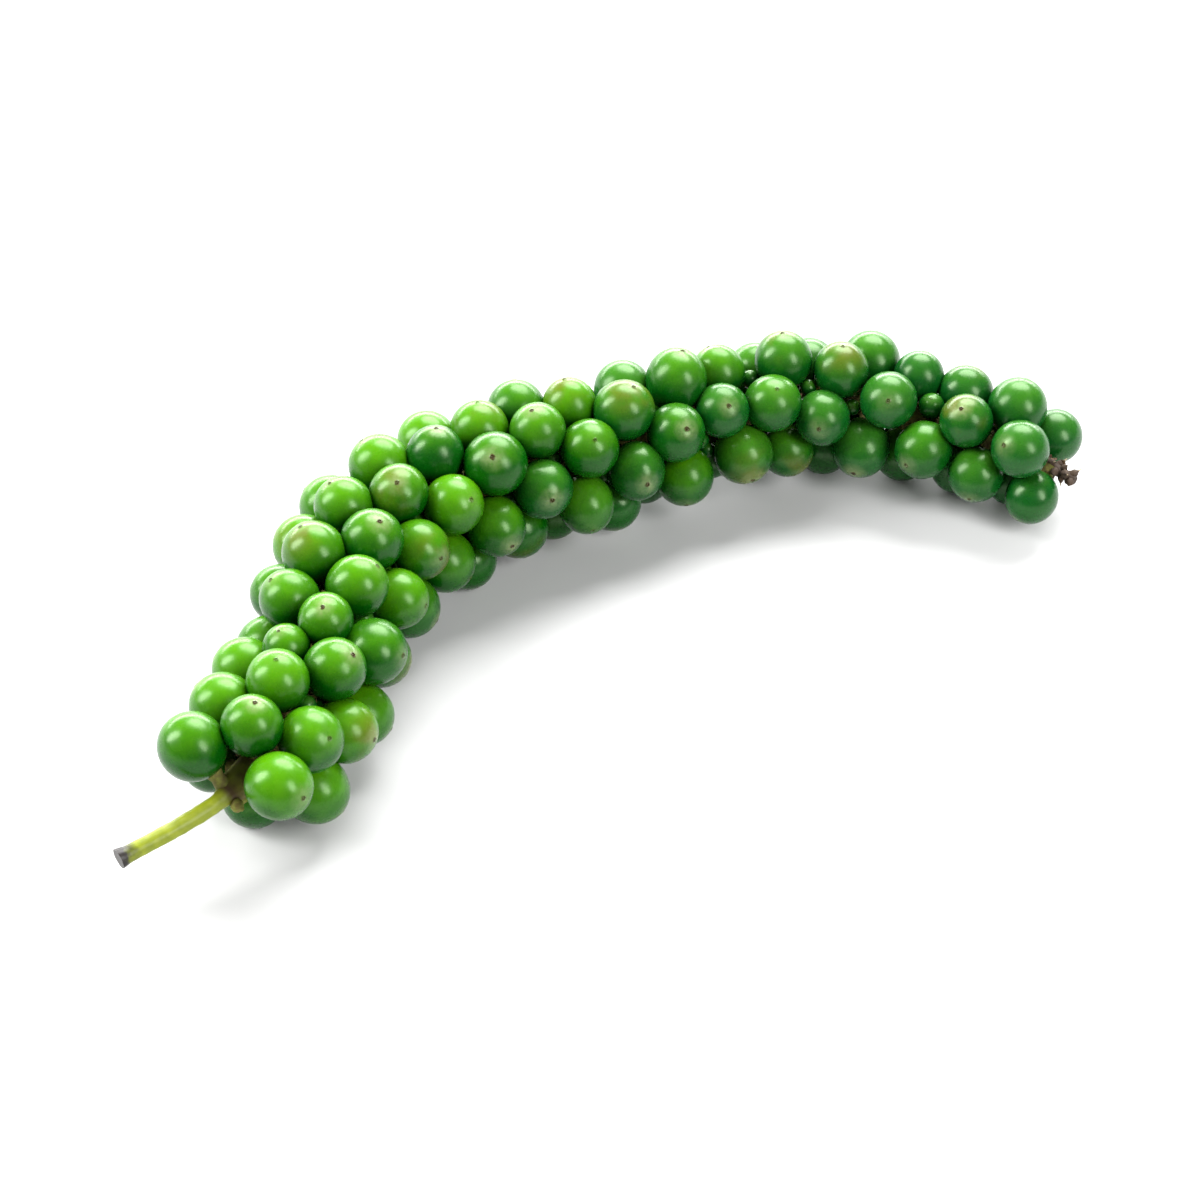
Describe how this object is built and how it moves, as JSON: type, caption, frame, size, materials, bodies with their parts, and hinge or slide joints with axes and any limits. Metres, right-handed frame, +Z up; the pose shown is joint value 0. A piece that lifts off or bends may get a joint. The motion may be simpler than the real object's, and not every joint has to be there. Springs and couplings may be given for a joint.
{
  "type": "green peppercorn sprig",
  "caption": "Curved sprig of fresh green peppercorns: round berries packed around a slim stem, with a bare cut stalk at one end and a withered tip at the other.",
  "frame": {"origin": "on the table under the middle of the sprig's bounding box", "axes": "+Z up, +X along the sprig from the cut stalk to the withered tip, +Y towards the outside of its bend"},
  "size_m": [0.084, 0.0682, 0.0159],
  "materials": {
    "stem": "yellow-green stalk, olive rachis, brown cut end and tip, slightly waxy",
    "berry_skin": "smooth glossy fruit skin, yellow-green to deep green, with a small brown scar at the top of each berry"
  },
  "bodies": {
    "root": {"stem": "stem", "berries": "berry_skin"}
  },
  "joints": []
}
